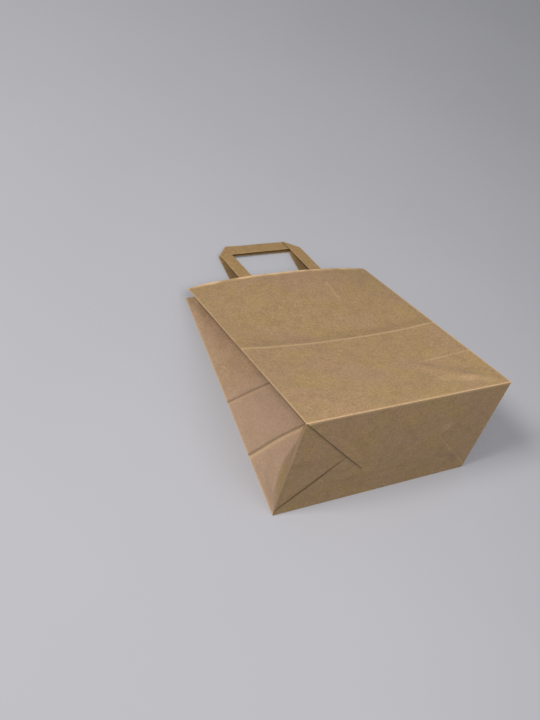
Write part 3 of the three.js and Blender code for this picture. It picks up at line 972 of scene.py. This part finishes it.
def tape_layers(handle, edge, x, r):
    """Wear, painted highlights and painted shade on a tape.

    Its edges and folds are paler, wear with a painted highlight. The front handle has a painted
    shadow line where the right leg passes under the bar, and the back handle's legs darken
    towards the mouth with painted shade.
    """
    left, right = handle_edges(handle)
    inner = handle.rise - TAPE_WIDTH
    # Wear with a painted highlight along the tape's edges and folds
    folds = line(r - inner - (x - left), TAPE_FOLD_WEAR_AND_HIGHLIGHT)
    folds += line(r - inner - (right - x), TAPE_FOLD_WEAR_AND_HIGHLIGHT)
    wear_and_highlight = line(edge, TAPE_EDGE_WEAR_AND_HIGHLIGHT) + folds * (r >= inner)
    if handle is FRONT_HANDLE:
        # Painted shadow line beside the right leg's inner edge
        dark = line(x - right + TAPE_WIDTH + 0.8, UNDER_LEG_PAINTED_SHADOW) * (r > inner)
    else:
        # Painted shade on the back handle's legs, darker towards the mouth
        dark = BACK_LEG_PAINTED_SHADE * smooth((inner + 10 - r) / BACK_LEG_FADE)
    return {"wear_and_highlight": wear_and_highlight, "dark": dark}


def build_handle(name, handle, place, under, seed):
    """A handle as one folded ribbon of tape with rounded long edges.

    The thickness is that of the tape times the root of one less the square of how far a point
    is into the rounded edge.
    """
    left, right = handle_edges(handle)
    x, r, q = ribbon_rows(left, right, handle.rise, under)
    waves = WAVE_SHARE * tape_waves(x, r, seed)
    points = place(x, r + waves, q + TAPE_THICKNESS / 2)
    edge = np.minimum(TAPE_ACROSS, 1 - TAPE_ACROSS) * TAPE_WIDTH
    into_edge = np.clip(1 - edge / TAPE_ROUNDING, 0, 1)
    thickness = TAPE_FILL * TAPE_THICKNESS * np.sqrt(np.maximum(1 - into_edge**2, LEAST_EDGE))
    thickness = np.broadcast_to(thickness, x.shape).ravel()
    run = np.arange(len(x))[:, None] * UV_STEP
    uv = np.stack(np.broadcast_arrays(TAPE_ACROSS * TAPE_WIDTH, run), axis=-1)
    layers = tape_layers(handle, edge, x, r)
    return thick_sheet(name, points, grid_quads(*x.shape), thickness, uv, layers)


PATCH_EDGE_WORN = (0.5, 0.8)
PATCH_DARK = 0.3


def build_patch(name, handle, place):
    """The paper patch over both legs, on the inside of a panel. It lies on the panel and
    steps up over each leg by a smooth ramp."""
    left, right = handle_edges(handle)
    columns = stations((left - PATCH_MARGIN, right + PATCH_MARGIN), (130,))
    rows = stations((-PATCH_INSET - PATCH_HEIGHT, -PATCH_INSET), (44,))
    x, r = np.meshgrid(columns, rows)
    ramp = 2 * PATCH_RAMP
    over = np.zeros_like(x)
    for middle in (left + TAPE_WIDTH / 2, right - TAPE_WIDTH / 2):
        off = np.abs(x - middle) - TAPE_WIDTH / 2
        over = np.maximum(over, 1 - smooth(off / ramp))
    over *= smooth((r + LEG_GLUED + ramp) / ramp)
    q = over * (TAPE_THICKNESS + 0.8 * CLEARANCE) + PAPER / 2
    width = HANDLE_SPAN + 2 * PATCH_MARGIN
    rim = np.minimum(from_rim(x - columns[0], width), from_rim(r - rows[0], PATCH_HEIGHT))
    uv = np.stack([x, r], axis=-1)
    layers = {"wear_and_highlight": line(rim, PATCH_EDGE_WORN), "dark": PATCH_DARK * over}
    return thick_sheet(name, place(x, r, q), grid_quads(*x.shape), PAPER, uv, layers)


# Shader helpers

def node(tree, kind, inputs=None, **settings):
    """A shader node of a kind, with its settings and its inputs' values or links."""
    made = tree.nodes.new("ShaderNode" + kind)
    for key, value in settings.items():
        setattr(made, key, value)
    for key, value in (inputs or {}).items():
        if isinstance(value, bpy.types.NodeSocket):
            tree.links.new(value, made.inputs[key])
        else:
            made.inputs[key].default_value = value
    return made


def tint(tree, base, colour, amount):
    """base mixed towards a colour by an amount."""
    made = node(tree, "Mix", data_type="RGBA", clamp_factor=True)
    tree.links.new(base, made.inputs["A"])
    made.inputs["B"].default_value = (*colour, 1)
    tree.links.new(amount, made.inputs["Factor"])
    return made.outputs["Result"]


def between(tree, value, low, high, out_low, out_high):
    """value taken from one range to another and held there."""
    places = {"From Min": low, "From Max": high, "To Min": out_low, "To Max": out_high}
    return node(tree, "MapRange", {"Value": value, **places}).outputs["Result"]


def times(tree, a, b):
    """The product of two values."""
    return node(tree, "Math", {0: a, 1: b}, operation="MULTIPLY").outputs[0]


def noise(tree, vector, scale, detail=2.0, roughness=0.5):
    """The plain value of a noise texture."""
    inputs = {"Vector": vector, "Scale": scale, "Detail": detail, "Roughness": roughness}
    return node(tree, "TexNoise", inputs).outputs["Fac"]


def stretched(tree, vector, scale):
    """The vector scaled by a factor on each axis, so that a pattern runs one way."""
    return node(tree, "Mapping", {"Vector": vector, "Scale": scale}).outputs["Vector"]


def attribute(tree, name):
    """The value of one of the piece's own layers."""
    return node(tree, "Attribute", attribute_name=name).outputs["Fac"]


def bump(tree, height, strength, distance, before=None):
    """The normals after a bump, on top of the one before it where that is given."""
    inputs = {"Height": height, "Strength": strength, "Distance": distance}
    if before is not None:
        inputs["Normal"] = before
    return node(tree, "Bump", inputs).outputs[0]


def scaled(colour, factor):
    """A colour times a factor."""
    return tuple(factor * channel for channel in colour)


def new_material(name):
    """A material, its node tree, its main shader and the object's own coordinates."""
    material = bpy.data.materials.new(name)
    material.use_nodes = True
    tree = material.node_tree
    place = node(tree, "TexCoord").outputs["Object"]
    return material, tree, tree.nodes["Principled BSDF"], place


def plain_colour(tree, colour):
    """A colour as the start of a chain of tints."""
    base = node(tree, "RGB")
    base.outputs[0].default_value = (*colour, 1)
    return base.outputs[0]


# Kraft paper

# Its own colour, the yellower and pinker tones that it drifts to, and its light fibres
Kraft = namedtuple("Kraft", "colour yellow pink light_fibre")
SHEET_PAPER = Kraft(
    (0.375, 0.240, 0.116), (0.39, 0.256, 0.092), (0.385, 0.232, 0.14), (0.55, 0.385, 0.21)
)
TAPE_PAPER = Kraft(
    (0.355, 0.220, 0.092), (0.37, 0.235, 0.085), (0.355, 0.213, 0.1), (0.48, 0.32, 0.15)
)
PATCH_PAPER = Kraft((0.40, 0.27, 0.15), (0.41, 0.28, 0.14), (0.40, 0.26, 0.16), (0.5, 0.36, 0.22))
# Painted light on the gussets' back halves: a lighter, pinker tone, as factors of the paper's
# colour
GUSSET_PAINTED_LIGHT_TONE = (1.08, 1.12, 1.6)
# Factors of the paper's colour for the dark mottle, the brown specks and the dark layer, which is
# mostly painted shade; then the pale colour of wear and painted highlights
DARK_MOTTLE, BROWN_SPECK, PAINTED_SHADE_AND_DARK_FACTOR = 0.66, 0.42, 0.28
WEAR_AND_HIGHLIGHT_GAIN, WEAR_AND_HIGHLIGHT_WHITE = 1.6, 0.055
FULL_DARK = 1.4
GRAIN_RELIEF = 0.16
COCKLE_RELIEF = 0.22


def paper_colour(tree, place, mottle, grain, fibre, paper):
    """Kraft's colour: a slow drift between a yellower and a pinker tone, painted light on the
    gussets' back halves as a lighter, pinker tone, a fine mottle, light and dark fibres, and
    brown specks. Half of the painted light is laid again over the rest."""
    dark, light = scaled(paper.colour, DARK_MOTTLE), paper.light_fibre
    speck = scaled(paper.colour, BROWN_SPECK)
    slow = noise(tree, place, 26, 3.0, 0.55)
    slower = noise(tree, stretched(tree, place, (1.0, 0.8, 1.3)), 13)
    cloud = noise(tree, place, 60)
    cross_fibre = noise(tree, stretched(tree, place, (0.2, 1.0, 0.7)), 700)
    speck_place = stretched(tree, place, (1.0, 0.55, 1.0))
    specks = node(tree, "TexVoronoi", {"Vector": speck_place, "Scale": 150})
    gusset_painted_light = attribute(tree, "gusset_painted_light")
    tone = tuple(f * c for f, c in zip(GUSSET_PAINTED_LIGHT_TONE, paper.colour))
    shade = plain_colour(tree, paper.colour)
    for value, colour, none_at, full_at, amount in (
        (slow, paper.yellow, 0.46, 0.62, 0.6),
        (slower, paper.pink, 0.46, 0.62, 0.6),
        # painted light on the gussets' back halves
        (gusset_painted_light, tone, 0.0, 1.0, 1.0),
        (cloud, dark, 0.46, 0.66, 0.3),
        (mottle, dark, 0.5, 0.66, 0.5),
        (mottle, light, 0.48, 0.32, 0.36),
        (grain, dark, 0.52, 0.7, 0.55),
        (fibre, light, 0.6, 0.74, 0.55),
        (cross_fibre, dark, 0.62, 0.76, 0.5),
        (specks.outputs["Distance"], speck, 0.085, 0.03, 0.5),
    ):
        shade = tint(tree, shade, colour, between(tree, value, none_at, full_at, 0.0, amount))
    # Half of the painted light, laid again over the mottle, fibres and specks
    return tint(tree, shade, scaled(tone, 0.93), times(tree, gusset_painted_light, 0.5))


def wear_and_painted_light_colour(tree, place, shade, colour):
    """The colour with wear and painted highlights, which are paler and broken up by noise, and with
    the dark layer, which is mostly painted shade.
    """
    # Wear and painted highlights: paler, broken up by noise
    patchy = between(tree, noise(tree, place, 420, 3.0, 0.65), 0.3, 0.6, 0.55, 1.15)
    pale = tuple(WEAR_AND_HIGHLIGHT_GAIN * channel + WEAR_AND_HIGHLIGHT_WHITE for channel in colour)
    shade = tint(tree, shade, pale, times(tree, attribute(tree, "wear_and_highlight"), patchy))
    # The dark layer, mostly painted shade
    amount = between(tree, attribute(tree, "dark"), 0.0, FULL_DARK, 0.0, 1.0)
    return tint(tree, shade, scaled(colour, PAINTED_SHADE_AND_DARK_FACTOR), amount)


def kraft(name, paper):
    """Unbleached kraft paper: matt, with a faint sheen. Its bump is a soft cockle, fibres that
    lie mostly along the sheet, and grain."""
    material, tree, shader, place = new_material(name)
    mottle = noise(tree, place, 330, 3.0, 0.6)
    grain = noise(tree, place, 900, 2.0, 0.6)
    fibre = noise(tree, stretched(tree, place, (1.0, 0.16, 1.0)), 900, 2.0, 0.55)
    shade = paper_colour(tree, place, mottle, grain, fibre, paper)
    shade = wear_and_painted_light_colour(tree, place, shade, paper.colour)
    tree.links.new(shade, shader.inputs["Base Color"])
    tree.links.new(between(tree, mottle, 0.3, 0.7, 0.86, 0.68), shader.inputs["Roughness"])
    shader.inputs["Specular IOR Level"].default_value = 0.28
    shader.inputs["Sheen Weight"].default_value = 0.05
    shader.inputs["Sheen Roughness"].default_value = 0.5
    cockle = bump(tree, noise(tree, place, 38, 3.0), COCKLE_RELIEF, 0.0012)
    fine = bump(tree, fibre, GRAIN_RELIEF, 0.00025, cockle)
    finest = bump(tree, grain, GRAIN_RELIEF, 0.0002, fine)
    tree.links.new(finest, shader.inputs["Normal"])
    return material


kraft_sheet = kraft("kraft_sheet_paper", SHEET_PAPER)
kraft_tape = kraft("kraft_tape_paper", TAPE_PAPER)
kraft_patch = kraft("kraft_patch_paper", PATCH_PAPER)


# The pieces

def dress(piece, material, slot, *nodes):
    """Gives a piece its material and its place in the frame."""
    piece.data.materials.append(material)
    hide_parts(*nodes)
    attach(piece, "root")


for sheet_piece in (
    build_bag_sheet(),
    build_base_flap("base_flap_back", BACK_FLAP),
    build_base_flap("base_flap_front", FRONT_FLAP),
    build_seam_flap(),
):
    dress(sheet_piece, kraft_sheet, "kraft_sheet", "bag_body")

front_tape = build_handle("front_handle_tape", FRONT_HANDLE, place_on_front, under="left", seed=5)
dress(front_tape, kraft_tape, "kraft_tape", "handle_front")
back_tape = build_handle("back_handle_tape", BACK_HANDLE, place_on_back, under="right", seed=6)
dress(back_tape, kraft_tape, "kraft_tape", "handle_back")

front_patch = build_patch("front_patch_paper", FRONT_HANDLE, place_on_front)
dress(front_patch, kraft_patch, "kraft_patch", "patch_front")
back_patch = build_patch("back_patch_paper", BACK_HANDLE, place_on_back)
dress(back_patch, kraft_patch, "kraft_patch", "patch_back")


# Floor, lamps and camera

FLOOR_COLOUR = (0.475, 0.475, 0.503)
FLOOR_DRIFT = 0.93
FLOOR_RADIUS = 6.0
FLOOR_CORNERS = 64

# A lamp's direction from the bag, distance, size, power and colour
LAMPS = {
    "key_lamp": ((-0.66, 0.12, 0.74), 3.2, 0.8, 65, (1.0, 0.985, 0.96)),
    "top_lamp": ((-0.1, -0.45, 1.0), 1.1, 0.8, 4.6, (1.0, 0.99, 0.98)),
}
SURROUND_COLOUR = (0.93, 0.95, 1.0)
SURROUND_STRENGTH = 0.305

# The view of the photograph: position and directions in the bag frame, in millimetres, and
# the focal length as pixels of a frame whose long side is 720
CAMERA_PLACE = (-432.6, -286.8, 884.6)
CAMERA_AZIMUTH = math.radians(-45.65)
CAMERA_ELEVATION = math.radians(50.59)
CAMERA_ROLL = math.radians(29.23)
FOCAL_PIXELS = 807.5
LONG_SIDE = 720
SENSOR = 36.0
FAR_CLIP = 50


def floor_paint():
    """A matt pale surface for the floor, with a very slight drift of tone."""
    material, tree, shader, place = new_material("floor_paint")
    drift = scaled(FLOOR_COLOUR, FLOOR_DRIFT)
    shade = tint(tree, plain_colour(tree, FLOOR_COLOUR), drift, noise(tree, place, 3))
    tree.links.new(shade, shader.inputs["Base Color"])
    shader.inputs["Roughness"].default_value = 0.9
    shader.inputs["Specular IOR Level"].default_value = 0.1
    return material


def build_floor():
    """A round floor, far wider than the view."""
    mesh = bpy.data.meshes.new("floor")
    turns = np.linspace(0, 2 * math.pi, FLOOR_CORNERS, endpoint=False)
    rim = FLOOR_RADIUS * points_of(np.cos(turns), np.sin(turns), 0 * turns)
    mesh.from_pydata(rim.tolist(), [], [list(range(FLOOR_CORNERS))])
    floor = bpy.data.objects.new("floor", mesh)
    floor.data.materials.append(floor_paint())
    bpy.context.scene.collection.objects.link(floor)


def level_axis(z):
    """The unit vector that is level and square to z."""
    level = np.cross([0, 0, 1.0], z)
    return level / np.linalg.norm(level)


def set_pose(obj, x, z, place):
    """Puts an object at a place in metres, with its own x and z axes along x and z."""
    y = np.cross(z, x)
    axes = Matrix([[x[k], y[k], z[k]] for k in range(3)]).to_4x4()
    obj.matrix_world = Matrix.Translation(place) @ axes
    bpy.context.scene.collection.objects.link(obj)


def add_lamp(name, towards, distance, size, power, colour):
    """A square soft lamp in a direction from the bag, turned to face it."""
    data = bpy.data.lights.new(name, "AREA")
    data.size = size
    data.energy = power
    data.color = colour
    z = np.array(towards, float) / np.linalg.norm(towards)
    set_pose(bpy.data.objects.new(name, data), level_axis(z), z, z * distance)


def light_scene():
    """A soft key from the upper left, a weaker lamp over the base, and a plain surround."""
    world = bpy.data.worlds.new("studio")
    bpy.context.scene.world = world
    world.use_nodes = True
    background = world.node_tree.nodes["Background"]
    background.inputs["Color"].default_value = (*SURROUND_COLOUR, 1)
    background.inputs["Strength"].default_value = SURROUND_STRENGTH
    for name, values in LAMPS.items():
        add_lamp(name, *values)


def build_camera():
    """A camera whose axes are its azimuth and elevation, turned by its roll."""
    data = bpy.data.cameras.new("camera")
    data.sensor_width = SENSOR
    data.lens = FOCAL_PIXELS * SENSOR / LONG_SIDE
    data.clip_end = FAR_CLIP
    back = np.array([
        math.sin(CAMERA_AZIMUTH) * math.cos(CAMERA_ELEVATION),
        -math.cos(CAMERA_AZIMUTH) * math.cos(CAMERA_ELEVATION),
        math.sin(CAMERA_ELEVATION),
    ])
    level = level_axis(back)
    upright = np.cross(back, level)
    right = level * math.cos(CAMERA_ROLL) + upright * math.sin(CAMERA_ROLL)
    camera = bpy.data.objects.new("camera", data)
    place = np.array(CAMERA_PLACE) * MM + ORIGIN
    set_pose(camera, right, back, place)
    bpy.context.scene.camera = camera


build_floor()
light_scene()
build_camera()
bpy.context.scene.view_settings.view_transform = "Standard"
